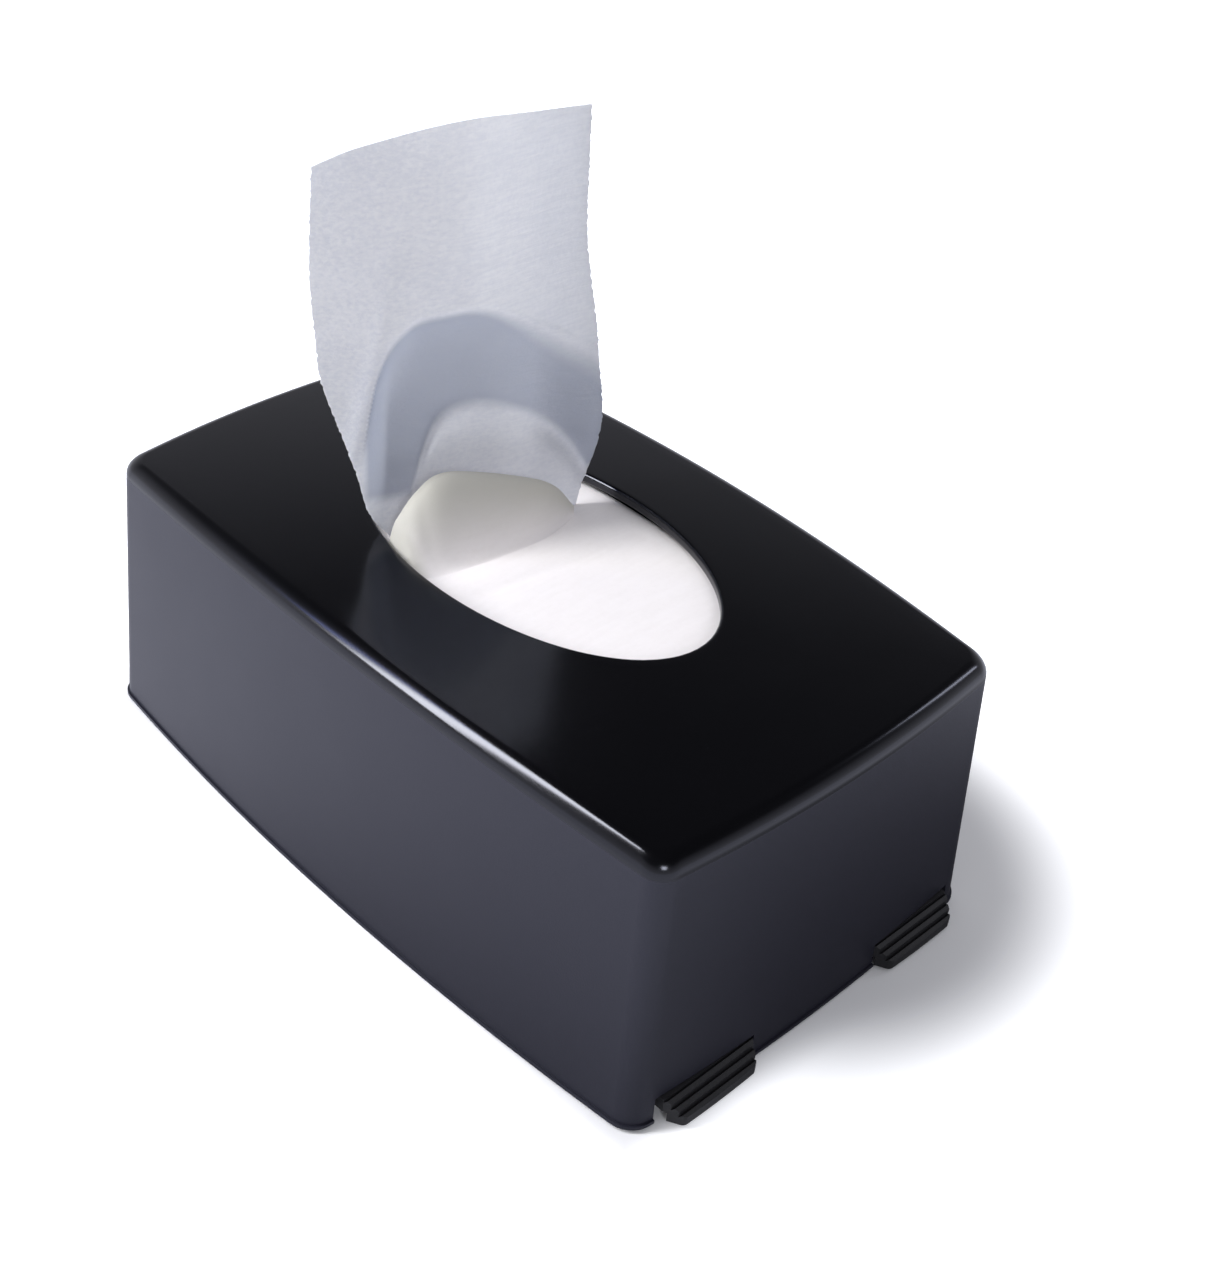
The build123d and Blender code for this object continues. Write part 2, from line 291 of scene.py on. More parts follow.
matteLook = {"cloudSize": 60, "colourSpread": 0.25, "roughSpread": 0.1}
plateLook = {"colour": (0.022, 0.022, 0.024), "roughness": 0.5, "grainSize": 1800, "grainDepth": 0.00004}
tabLook = {"colour": (0.020, 0.020, 0.022), "roughness": 0.42, "grainSize": 2200, "grainDepth": 0.00003}
footLook = {"colour": (0.032, 0.031, 0.030), "roughness": 0.8, "grainSize": 1400, "grainDepth": 0.00008}


def makeMatteBlack(name, look):
    made = makeFinish(name, {"IOR": 1.48})
    grain = made.noise(made.place(), look["grainSize"], 3.0, 0.6)
    cloud = made.noise(made.place(), matteLook["cloudSize"], 3.0, 0.6)
    spread = matteLook["colourSpread"]
    dark, light = ((*(c * level for c in look["colour"]), 1) for level in (1 - spread, 1 + spread))
    return made.finish(
        Base_Color=made.blendColour(cloud, dark, light),
        Roughness=look["roughness"] - matteLook["roughSpread"] / 2 + cloud * matteLook["roughSpread"],
        Normal=made.bump(grain, look["grainDepth"]),
    )


steelLook = {
    "dark": (0.42, 0.42, 0.43, 1),
    "light": (0.62, 0.62, 0.63, 1),
    "stretch": (1, 40, 40),
    "lineSize": 900,
    "lineDepth": 0.00002,
    "roughness": 0.24,
    "roughSpread": 0.14,
}


def makeSteel(look):
    made = makeFinish("brushedSteel", {"Metallic": 1.0})
    lines = made.noise(made.place(look["stretch"]), look["lineSize"], 3.0, 0.6)
    return made.finish(
        Base_Color=made.blendColour(lines, look["dark"], look["light"]),
        Roughness=look["roughness"] + lines * look["roughSpread"],
        Normal=made.bump(lines, look["lineDepth"]),
    )


paperLook = {
    "fibreSize": 900,
    "cloudSize": 45,
    "shadeShares": (0.4, 0.3, 0.3),
    "shadeRange": (0.32, 0.66),
    "fibreRelief": 0.4,
    "roughness": 0.86,
    "roughSpread": 0.1,
}


def makePaper(name, look):
    # crepe: fine wrinkles along the strip's width, broken up by fibres and soft clouding
    constants = {
        "IOR": 1.35,
        "Specular IOR Level": 0.15,
        "Subsurface Weight": look["glow"],
        "Subsurface Radius": (1, 1, 1),
        "Subsurface Scale": look["glowDepth"],
    }
    made = makeFinish(name, constants)
    turn = (0, 0, math.radians(look["turn"]))
    wrinkles = made.noise(made.place(look["stretch"], turn), look["wrinkleScale"], 3.0, 0.6)
    fibre = made.noise(made.place(), paperLook["fibreSize"], 4.0, 0.6)
    cloud = made.noise(made.place(), paperLook["cloudSize"], 3.0, 0.55)
    wrinkleShare, fibreShare, cloudShare = paperLook["shadeShares"]
    mixed = wrinkles * wrinkleShare + fibre * fibreShare + cloud * cloudShare
    shade = made.step(mixed, *paperLook["shadeRange"])
    colour = made.blendColour(shade, look["dark"], look["light"])
    # painted shade: the attribute darkens the paper where it stands in for less light coming through the
    # strip under its arch, and for the strip's shadow on the raised leaf
    layers = made.node("ShaderNodeAttribute", {"attribute_name": "doubled"}, {}, "Fac")
    return made.finish(
        Base_Color=made.blendColour(layers, colour, look["doubled"]),
        Roughness=paperLook["roughness"] + fibre * paperLook["roughSpread"],
        Normal=made.bump(wrinkles + fibre * paperLook["fibreRelief"], look["depth"]),
    )


stackLook = {
    "light": (0.905, 0.866, 0.864, 1),
    "dark": (0.865, 0.825, 0.818, 1),
    "stretch": (0.15, 1, 1),
    "turn": 0,
    "wrinkleScale": 600,
    "depth": 0.00003,
    "glow": 0.25,
    "glowDepth": 0.002,
    # painted shadow colour of the standing strip, on the raised leaf
    "doubled": (0.56, 0.55, 0.49, 1),
}
stripLook = {
    "light": (0.90, 0.92, 1.0, 1),
    "dark": (0.74, 0.77, 0.89, 1),
    # painted shade colour under the strip's arch and along its right side
    "doubled": (0.235, 0.265, 0.35, 1),
    "stretch": (0.10, 1, 1),
    "turn": 21,
    "wrinkleScale": 1500,
    "depth": 0.00010,
    "glow": 0.6,
    "glowDepth": 0.004,
}

glossBlack = makeCoverFinish(coverLook)
matteBlack = makeMatteBlack("matteBlackPlastic", plateLook)
tabBlack = makeMatteBlack("tabPlastic", tabLook)
rubber = makeMatteBlack("footRubber", footLook)
steel = makeSteel(steelLook)
stackPaper = makePaper("stackPaper", stackLook)
stripPaper = makePaper("stripPaper", stripLook)
print("finishes made")


coverShape = {
    "length": 190 * mm,
    "width": 111 * mm,
    "sideBow": 5.2 * mm,
    "endBowLow": 2.3 * mm,
    "endBowHigh": 3.9 * mm,
    "cornerRadius": 6 * mm,
    "bottom": 1 * mm,
    "cornerHeight": 70.5 * mm,
    "drawIn": 3.4 * mm,
    "crownRise": 3.1 * mm,
    "edgeRadius": 4 * mm,
    "edgeShare": 0.955,
    "edgeSegments": 9,
    "wall": 2.2 * mm,
    "topThickness": 2.6 * mm,
    "mouth": (59 * mm, 100.6 * mm),
    "mouthRound": 0.8 * mm,
    "sharpEdge": 0.22 * mm,
    "sharpAngle": math.radians(50),
    "lipHeight": 0.9 * mm,
    "lipReach": 0.5 * mm,
    "tabNotch": (20.1 * mm, 48.1 * mm),
    "tabNotchTop": 7.7 * mm,
    "hingeNotchHalf": 31 * mm,
    "hingeNotchTop": 10.6 * mm,
    "hingeY": 94.9 * mm,
    "hingeZ": 6 * mm,
    "knuckleRadius": 3.8 * mm,
    "knuckleLength": 6 * mm,
    "pinHole": 1.3 * mm,
    "ledgeMiddle": 34.1 * mm,
    "ledgeWidth": 14 * mm,
    "ledgeLow": 8.7 * mm,
    "ledgeTall": 1.6 * mm,
    "ledgeTip": -92.47 * mm,
    "ledgeDeep": 2.6 * mm,
    "sideSteps": 33,
    "cornerSteps": 10,
    "endSpan": 49.2 * mm,
    "endColumns": [1, 0.9, 0.8, 0.71, 0.52, 0.3, 0.2, 0.1],
    "wallHeights": [20 * mm, 32 * mm, 44 * mm, 55 * mm, 62 * mm],
    "topShares": [0.22, 0.42, 0.62, 0.8, 0.94, 1],
    "endZone": 90 * mm,
    "topZone": 60 * mm,
    "thickFrom": 66 * mm,
    "thickOver": 6 * mm,
    "lipEnd": (50 * mm, 88 * mm),
}
domeRadius = (coverShape["length"] / 2) ** 2 / (2 * coverShape["crownRise"])
domeTop = (
    coverShape["bottom"]
    + coverShape["cornerHeight"]
    + coverShape["crownRise"]
    + (coverShape["width"] / 2) ** 2 / (2 * domeRadius)
)


def domeHeight(x, y, top=domeTop):
    return top - domeRadius + math.sqrt(domeRadius**2 - x * x - y * y)


def outlineRing(shape, z):
    # points of the case's plan at height z, in the same order at every height
    share = (z - shape["bottom"]) / shape["cornerHeight"]
    halfX = shape["width"] / 2 - shape["drawIn"] * share
    halfY = shape["length"] / 2 - shape["drawIn"] * share
    bow = shape["endBowLow"] + (shape["endBowHigh"] - shape["endBowLow"]) * share
    sideRadius = (halfY**2 + shape["sideBow"] ** 2) / (2 * shape["sideBow"])
    endRadius = (halfX**2 + bow**2) / (2 * bow)
    sideX = halfX + shape["sideBow"] - sideRadius
    endY = halfY + bow - endRadius
    r = shape["cornerRadius"]
    # the middle of the corner's arc, closing in on the place where it touches both long arcs
    x, y = halfX - r, halfY - r
    for _ in range(12):
        x = sideX + math.sqrt((sideRadius - r) ** 2 - y * y)
        y = endY + math.sqrt((endRadius - r) ** 2 - x * x)
    sideTurn = math.atan2(y, x - sideX)
    endTurn = math.atan2(y - endY, x)
    endX = endRadius * math.cos(endTurn)
    quarter = []
    for i in range(shape["sideSteps"] // 2 + 1):
        turn = sideTurn * (2 * i + 1) / shape["sideSteps"]
        quarter.append((sideX + sideRadius * math.cos(turn), sideRadius * math.sin(turn)))
    for i in range(1, shape["cornerSteps"]):
        turn = sideTurn + (endTurn - sideTurn) * i / shape["cornerSteps"]
        quarter.append((x + r * math.cos(turn), y + r * math.sin(turn)))
    # a column of points at each edge of a notch, so that the notches can be cut out of whole faces
    notchEdges = (*shape["tabNotch"], shape["hingeNotchHalf"])
    places = shape["endColumns"] + [edge / shape["endSpan"] for edge in notchEdges]
    for place in sorted(places, reverse=True):
        across = endX * place
        quarter.append((across, endY + math.sqrt(endRadius**2 - across**2)))
    middle = (0.0, endY + endRadius)
    right = quarter + [middle] + [(-px, py) for px, py in reversed(quarter)]
    return right + [(-px, -py) for px, py in right]


def wallRing(shape, z):
    return [Vector((x, y, z)) for x, y in outlineRing(shape, z)]


def edgeRing(shape):
    # where the leaning walls meet the domed top, closing in on the height
    ring = []
    for i, (x, y) in enumerate(outlineRing(shape, domeTop)):
        for _ in range(3):
            z = domeHeight(x, y)
            x, y = outlineRing(shape, z)[i]
        ring.append(Vector((x, y, domeHeight(x, y))))
    return ring


def topRing(shape, edge, share):
    # between the edge of the top, at 0, and the mouth, at 1
    halfX, halfY = shape["mouth"][0] / 2, shape["mouth"][1] / 2
    ring = []
    for point in edge:
        turn = math.atan2(point.y / halfY, point.x / halfX)
        x = point.x + (halfX * math.cos(turn) - point.x) * share
        y = point.y + (halfY * math.sin(turn) - point.y) * share
        ring.append(Vector((x, y, domeHeight(x, y))))
    return ring


def spreadRing(piece, points):
    def turn(spot):
        return math.atan2(spot.y, spot.x)

    mesh = bmesh.from_edit_mesh(piece.data)
    chosen = sorted((v for v in mesh.verts if v.select), key=lambda v: turn(v.co))
    for vert, point in zip(chosen, sorted(points, key=turn)):
        vert.co = point
    bmesh.update_edit_mesh(piece.data)


def makeCoverSkin(shape):
    edge = edgeRing(shape)
    low = shape["bottom"]
    heights = [0, shape["lipHeight"], shape["tabNotchTop"] - low, shape["hingeNotchTop"] - low]
    rings = [wallRing(shape, low + height) for height in heights + shape["wallHeights"]]
    rings += [edge]
    rings += [topRing(shape, edge, share) for share in shape["topShares"]]
    clearSelection()
    bpy.ops.mesh.primitive_circle_add(vertices=len(edge), radius=shape["width"] / 2)
    skin = bpy.context.active_object
    skin.name = "coverShell"
    startEdit(skin)
    bpy.ops.mesh.select_all(action="SELECT")
    spreadRing(skin, rings[0])
    for ring in rings[1:]:
        bpy.ops.mesh.extrude_edges_move()
        spreadRing(skin, ring)
    bpy.ops.mesh.select_all(action="SELECT")
    bpy.ops.mesh.normals_make_consistent(inside=False)

    def onRing(point):
        return any((point - spot).length < 1e-6 for spot in edge)

    def onEdge(a, b):
        return onRing(a) and onRing(b)

    pickEdges(skin, onEdge)
    bevel = shape["edgeRadius"] * shape["edgeShare"]
    bpy.ops.mesh.bevel(offset=bevel, segments=shape["edgeSegments"], profile=0.5)
    endEdit()
    return skin


def cutNotches(skin, shape):
    def inTabNotch(spot):
        front = spot.y < -shape["endZone"] and spot.z < shape["tabNotchTop"]
        return front and shape["tabNotch"][0] < abs(spot.x) < shape["tabNotch"][1]

    def inHingeNotch(spot):
        back = spot.y > shape["endZone"] and spot.z < shape["hingeNotchTop"]
        return back and abs(spot.x) < shape["hingeNotchHalf"]

    startEdit(skin)
    pickFaces(skin, lambda spot, normal: inTabNotch(spot) or inHingeNotch(spot))
    bpy.ops.mesh.delete(type="FACE")
    endEdit()


def thicken(skin, shape):
    group = skin.vertex_groups.new(name="thickness")
    wallShare = shape["wall"] / shape["topThickness"]
    for vert in skin.data.vertices:
        rise = min(max((vert.co.z - shape["thickFrom"]) / shape["thickOver"], 0), 1)
        group.add([vert.index], wallShare + (1 - wallShare) * rise, "REPLACE")
    addModifier(
        skin,
        "SOLIDIFY",
        thickness=shape["topThickness"],
        offset=-1,
        use_even_offset=True,
        vertex_group="thickness",
    )
    skin.vertex_groups.clear()


def roundMouth(skin, shape):
    halfX, halfY = shape["mouth"][0] / 2, shape["mouth"][1] / 2

    def onMouth(point):
        away = (point.x / halfX) ** 2 + (point.y / halfY) ** 2
        return point.z > shape["topZone"] and abs(away - 1) < 0.02

    startEdit(skin)
    pickEdges(skin, lambda a, b: onMouth(a) and onMouth(b) and abs(a.z - b.z) < mm)
    bpy.ops.mesh.bevel(offset=shape["mouthRound"], segments=5, profile=0.5)
    endEdit()


def addLip(skin, shape):
    def outside(spot, normal):
        low = shape["bottom"] < spot.z < shape["bottom"] + shape["lipHeight"]
        outward = normal.x * spot.x + normal.y * spot.y > 0
        onEnd = abs(spot.x) < shape["lipEnd"][0] and abs(spot.y) > shape["lipEnd"][1]
        return low and outward and (abs(normal.y) > 0.7 or not onEnd)

    startEdit(skin)
    pickFaces(skin, outside)
    bpy.ops.mesh.extrude_region_shrink_fatten(
        TRANSFORM_OT_shrink_fatten={"value": shape["lipReach"], "use_even_offset": True}
    )
    endEdit()


def makeKnuckle(shape, side):
    near = shape["hingeNotchHalf"]
    clearSelection()
    bpy.ops.mesh.primitive_cylinder_add(
        vertices=40,
        radius=shape["knuckleRadius"],
        depth=shape["knuckleLength"],
        location=(side * (near + shape["knuckleLength"] / 2), shape["hingeY"], shape["hingeZ"]),
        rotation=(0, math.radians(90), 0),
    )
    knuckle = bpy.context.active_object
    startEdit(knuckle)
    pickFaces(knuckle, lambda spot, normal: abs(normal.z) > 0.9)
    bpy.ops.mesh.inset(thickness=shape["knuckleRadius"] - shape["pinHole"])
    bpy.ops.mesh.bridge_edge_loops()
    endEdit()
    return knuckle


def makeLedge(shape, side):
    low, tall, deep = shape["ledgeLow"], shape["ledgeTall"], shape["ledgeDeep"]
    clearSelection()
    bpy.ops.mesh.primitive_cube_add(
        size=1,
        location=(side * shape["ledgeMiddle"], shape["ledgeTip"] - deep / 2, low + tall / 2),
        scale=(shape["ledgeWidth"], deep, tall),
    )
    return bpy.context.active_object


def makeCover(shape):
    skin = makeCoverSkin(shape)
    cutNotches(skin, shape)
    thicken(skin, shape)
    roundMouth(skin, shape)
    addLip(skin, shape)
    extras = [makeKnuckle(shape, side) for side in (-1, 1)]
    extras += [makeLedge(shape, side) for side in (-1, 1)]
    for extra in extras:
        applyPlace(extra)
    joinPieces(skin, extras)
    addModifier(
        skin,
        "BEVEL",
        width=shape["sharpEdge"],
        segments=2,
        limit_method="ANGLE",
        angle_limit=shape["sharpAngle"],
    )
    settle(skin, 40)
    addModifier(skin, "WEIGHTED_NORMAL", weight=50, keep_sharp=True)
    dress(skin, glossBlack)
    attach(skin, "cover")
    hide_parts("cover")
    return skin


coverShell = makeCover(coverShape)
print("cover made", len(coverShell.data.polygons))


stackShape = {
    "width": 65 * mm,
    "length": 130 * mm,
    "bottom": 3.8 * mm,
    "top": 69.0 * mm,
    "layers": 44,
    "cornerRadius": 2.5 * mm,
    "looseness": 0.35 * mm,
    "groove": 0.45 * mm,
    "grooveShare": 0.12,
}


def makeStack(shape):
    wide, long = shape["width"], shape["length"]
    layer = (shape["top"] - shape["bottom"]) / shape["layers"]
    clearSelection()
    bpy.ops.mesh.primitive_cube_add(
        size=1,
        location=(0, 0, shape["bottom"] + layer / 2),
        scale=(wide - 2 * shape["looseness"], long - 2 * shape["looseness"], layer),
    )
    stack = bpy.context.active_object
    stack.name = "stripStack"
    applyPlace(stack)
    startEdit(stack)
    pickEdges(stack, lambda a, b: abs(a.z - b.z) > layer / 2)
    bpy.ops.mesh.bevel(offset=shape["cornerRadius"], segments=4, profile=0.5)
    level = shape["bottom"] + layer
    pinchX, pinchY = 1 - 2 * shape["groove"] / wide, 1 - 2 * shape["groove"] / long
    slope = layer * shape["grooveShare"]
    for i in range(1, shape["layers"]):
        # a pinched groove, then the next folded layer, each a little out of line
        pickFaces(stack, lambda spot, normal: normal.z > 0.9 and abs(spot.z - level) < 1e-5)
        place = i * 0.7
        shift = Vector((noise.noise((place, 0, 0)), noise.noise((0, place, 3)), 0)) * shape["looseness"]
        bpy.ops.mesh.extrude_region_move(TRANSFORM_OT_translate={"value": (0, 0, slope)})
        bpy.ops.transform.resize(value=(pinchX, pinchY, 1))
        bpy.ops.mesh.extrude_region_move(TRANSFORM_OT_translate={"value": shift + Vector((0, 0, slope))})
        bpy.ops.transform.resize(value=(1 / pinchX, 1 / pinchY, 1))
        back = Vector((0, 0, layer - 2 * slope)) - shift
        bpy.ops.mesh.extrude_region_move(TRANSFORM_OT_translate={"value": back})
        level += layer
    endEdit()
    settle(stack, 50)
    dress(stack, stackPaper)
    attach(stack, "base")
    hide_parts("strip_pack")
    return stack


stripStack = makeStack(stackShape)
print("stack made", len(stripStack.data.polygons))


def makeSheet(name, across, along, shapeAt, thickness, paintedShadeAt=None):
    # a fine grid whose corners run from 0 to 1 both ways, given its form by shapeAt
    clearSelection()
    bpy.ops.mesh.primitive_grid_add(x_subdivisions=across, y_subdivisions=along, size=1)
    sheet = bpy.context.active_object
    sheet.name = name
    corners = [(vert.co.x + 0.5, vert.co.y + 0.5) for vert in sheet.data.vertices]
    # painted shade, kept as an attribute that darkens the paper's colour
    if paintedShadeAt:
        shadeAttribute = sheet.data.attributes.new("doubled", "FLOAT", "POINT")
        shadeAttribute.data.foreach_set("value", [paintedShadeAt(*corner) for corner in corners])
    for vert, corner in zip(sheet.data.vertices, corners):
        vert.co = shapeAt(*corner)
    addModifier(sheet, "SOLIDIFY", thickness=thickness, offset=0)
    settle(sheet, 60)
    return sheet


# each crease runs from one place to another, with its depth and its width, all in millimetres
leafShape = {
    "width": 63 * mm,
    "length": 128 * mm,
    "top": 72.05 * mm,
    "thickness": 0.5 * mm,
    "creases": [((-21, -4), (24, -9), 0.35, 2.2)],
    "swell": 0.35 * mm,
    "waves": (26, 18),
    "curl": (19 * mm, 7 * mm, 2.9 * mm),
    "curlRim": 0.07,
    "curlInner": (0.5, 0.42, 0.3),
    "droop": (0.8 * mm, 1.2 * mm),
    "across": 120,
    "along": 190,
}


def rimRoom(x, y, width):
    # 0 at the mouth's rim and outside it, rising to 1 further in
    away = math.hypot(x / (coverShape["mouth"][0] / 2), y / (coverShape["mouth"][1] / 2))
    return ease((1 - away) / width)


def creaseDepth(x, y, creases):
    depth = 0.0
    for (x0, y0), (x1, y1), deep, wide in creases:
        along = Vector((x1 - x0, y1 - y0)) * mm
        spot = Vector((x, y)) - Vector((x0, y0)) * mm
        share = min(max(spot.dot(along) / along.length_squared, 0), 1)
        away = (spot - along * share).length / mm
        depth += deep * mm * math.exp(-((away / wide) ** 2))
    return depth


def leafHeight(x, y):
    # upper face of the uppermost strip, which curls up beside the left rim of the mouth
    shape = leafShape
    wave = noise.noise((x * shape["waves"][0], y * shape["waves"][1], 1.5)) * shape["swell"]
    middle, wide, rise = shape["curl"]
    curl = rise * math.exp(-(((y - middle) / wide) ** 2)) if x < 0 else 0
    inner, start, width = shape["curlInner"]
    curl *= rimRoom(x, y, shape["curlRim"]) * ease((start - rimRoom(x, y, inner)) / width)
    level = domeHeight(x, y, shape["top"]) - shape["swell"]
    return level + wave + curl - creaseDepth(x, y, shape["creases"])


def makeTopLeaf(shape):
    halfX, halfY = shape["width"] / 2, shape["length"] / 2
    deep, wide = shape["droop"]

    def leafAt(s, t):
        x, y = (2 * s - 1) * halfX, (2 * t - 1) * halfY
        nearEdge = min(halfX - abs(x), halfY - abs(y))
        droop = deep * math.exp(-nearEdge / wide)
        return Vector((x, y, leafHeight(x, y) - shape["thickness"] / 2 - droop))

    leaf = makeSheet("topLeaf", shape["across"], shape["along"], leafAt, shape["thickness"])
    dress(leaf, stackPaper)
    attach(leaf, "base")
    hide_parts("top_leaf")


makeTopLeaf(leafShape)
print("top leaf made")


# the standing strip's plane and edges, in millimetres: u runs across it and z up
# a pair says where a soft change starts and how wide it is, and a third number says its share
standShape = {
    "acrossWay": (0.934, -0.358),
    "forwardWay": (0.358, 0.934),
    "distance": 14.26,
    "leftEdge": [
        (73, -30.6), (79.8, -35.5), (89.6, -38.2), (99.0, -41.1), (105.6, -43.3), (112.1, -45.4),
        (118.3, -46.8), (125.4, -47.3), (136.9, -48.2), (145.8, -48.2), (163.3, -47.4),
    ],
    "rightEdge": [
        (73, 15.0), (78.3, 15.9), (82.7, 17.3), (90.5, 19.5), (98.4, 19.9), (109.0, 18.3),
        (119.3, 16.7), (129.3, 14.5), (139.0, 12.8), (150.5, 12.2), (161.6, 11.8), (171.6, 11.3),
    ],
    "topEdge": [
        (-47.4, 163.3), (-40.5, 165.7), (-33.8, 167.2), (-23.0, 169.2), (-12.5, 170.4), (-1.8, 170.8),
        (11.3, 171.4),
    ],
    "archEdge": [
        (-37.5, 94.9), (-33.9, 115.2), (-27.3, 125.6), (-19.1, 128.0), (-6.2, 127.6), (15.5, 117.0),
        (20, 113),
    ],
    "foot": 73.0,
    "level": 163.0,
    "curl": 3.6,
    "bulgeEdge": [
        (-26, 84), (-23, 96), (-20, 102.5), (-14, 105.5), (-5, 104), (5, 99), (12, 92), (17, 84),
    ],
    "curlLeast": 0.35,
    "curlGrowth": 1.6,
    "curlTurns": 1.25,
    "curlRight": (0.55, 0.45, 1.5),
    "dent": 5.5,
    "dentSlope": 5.5,
    "dentFoot": (74, 22),
    "dentRight": (2, 16, 0.6),
    "dentSide": 6,
    "fold": 0.8,
    "foldWidth": 3.2,
    "foldLine": (-40, 90, 0.22),
    "foldTop": (150, 40),
    "bulge": 0.7,
    "bulgeWidth": 3,
    "bulgeDrop": 2.5,
    "bulgeSide": (-26, 5),
    "flutter": 0.7,
    "flutterScale": (0.045, 0.04),
    "thickness": 0.25 * mm,
    "ragged": 0.35,
    "across": 120,
    "along": 180,
}


def standPoint(u, z, away):
    # a place on the strip's plane, then moved back from or towards the camera
    across, forward = standShape["acrossWay"], standShape["forwardWay"]
    distance = standShape["distance"]
    flat = Vector((across[0] * u + forward[0] * distance, across[1] * u + forward[1] * distance, z))
    look = (cameraSpot / mm - flat).normalized()
    facing = look.x * forward[0] + look.y * forward[1]
    return (flat + look * (away / facing)) * mm


def standAway(u, c, z):
    # how far the paper stands back from its plane, in millimetres
    shape = standShape
    rise = (z - shape["foot"]) / (shape["level"] - shape["foot"])
    least = shape["curlLeast"]
    curl = shape["curl"] * (least + (1 - least) * ease(rise * shape["curlGrowth"]))
    start, width, share = shape["curlRight"]
    away = -curl * math.sin(math.pi * c * shape["curlTurns"]) + curl * share * easeFrom(c, start, width)
    # pushed back under the arch, less so at the foot and at the right
    left = shape["archEdge"][0][0]
    below = curveAt(shape["archEdge"], u) - z
    if u > left and below > 0:
        start, width, share = shape["dentRight"]
        fade = easeFrom(z, *shape["dentFoot"]) * (1 - share * easeFrom(u, start, width))
        fade *= easeFrom(u, left, shape["dentSide"])
        away += shape["dent"] * (1 - math.exp(-below / shape["dentSlope"])) * fade
    # a soft fold up the left side, and a ridge over the leaf in front
    foldU, foldZ, lean = shape["foldLine"]
    top, width = shape["foldTop"]
    beside = (u - foldU - (z - foldZ) * lean) / shape["foldWidth"]
    fold = math.exp(-(beside**2)) * ease((top - z) / width)
    under = curveAt(shape["bulgeEdge"], u) - z - shape["bulgeDrop"]
    bulge = math.exp(-((under / shape["bulgeWidth"]) ** 2)) * easeFrom(u, *shape["bulgeSide"])
    scaleU, scaleZ = shape["flutterScale"]
    flutter = noise.noise((u * scaleU, z * scaleZ, 2)) * shape["flutter"]
    return away - shape["fold"] * fold - shape["bulge"] * bulge + flutter


def standSpot(c, s):
    # the strip's own place (u across it, z up it) for a corner of the grid
    shape = standShape
    level = shape["foot"] + (shape["level"] - shape["foot"]) * s
    left = curveAt(shape["leftEdge"], level)
    right = curveAt(shape["rightEdge"], level)
    rag = noise.noise((level * 0.9, 5, 1)) + 0.5 * noise.noise((level * 3.1, 9, 4))
    rag *= shape["ragged"] * (1 - 2 * min(c, 1 - c)) ** 6
    u = left + (right - left) * c + (rag if c < 0.5 else -rag)
    return u, level + (curveAt(shape["topEdge"], u) - shape["level"]) * s**2


# how the strip's painted shade fades at its edge, in millimetres along u and z, in pairs and threes as
# above
stripShadeShape = {
    "soft": (2.5, 12),
    "softRight": (-16, 30),
    "lift": 0.3,
    "leftSide": (-38.5, 3),
    "bulge": (-1.5, 4, 0.62),
    "right": (-30, 38, 0.46),
}


def stripShadeAt(c, s):
    # painted shade on the strip: dark under the arch, where less light would come through the paper, less
    # over the bulge, and a little along the right side
    shape = stripShadeShape
    u, z = standSpot(c, s)
    below = curveAt(standShape["archEdge"], u) - z
    under = curveAt(standShape["bulgeEdge"], u) - z
    least, more = shape["soft"]
    soft = least + more * easeFrom(u, *shape["softRight"])
    arch = ease((below + soft * shape["lift"]) / soft) * easeFrom(u, *shape["leftSide"])
    start, width, share = shape["bulge"]
    arch *= 1 - share * easeFrom(under, start, width)
    start, width, share = shape["right"]
    return max(arch, share * easeFrom(u, start, width))


def makeStandingStrip(shape):
    def stripAt(c, s):
        u, z = standSpot(c, s)
        return standPoint(u, z, standAway(u, c, z))

    grid = shape["across"], shape["along"]
    strip = makeSheet("standingStrip", *grid, stripAt, shape["thickness"], stripShadeAt)
    dress(strip, stripPaper)
    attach(strip, "base")
    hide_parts("standing_strip")
    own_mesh(strip)


makeStandingStrip(standShape)
print("standing strip made")


# the raised leaf, in the standing strip's u and z, in millimetres
humpShape = {
    "crest": [
        (-33, 73.5), (-30, 76.0), (-25.5, 83.0), (-20.1, 87.6), (-12, 87.2), (4.3, 82.4), (10, 79.0),
        (14.5, 73.2),
    ],
    "reach": [(-33, 9.0), (-27, 12.5), (-15, 11.0), (0, 7.0), (10, 3.5), (14.5, 1.0)],
    "away": [(-33, -4.2), (4, -4.2), (14.5, -0.8)],
    "drop": 1.8,
    "crestAt": 0.75,
    "liftPower": 1.2,
    "liftLoss": 0.6,
    "rimWidth": 0.06,
    "sunk": 0.12,
    "shade": 0.9,
    "shadeFront": (0.12, 0.5),
    "shadeLeft": (0.2, 0.12),
    "thickness": 0.15 * mm,
    "across": 90,
    "along": 60,
}


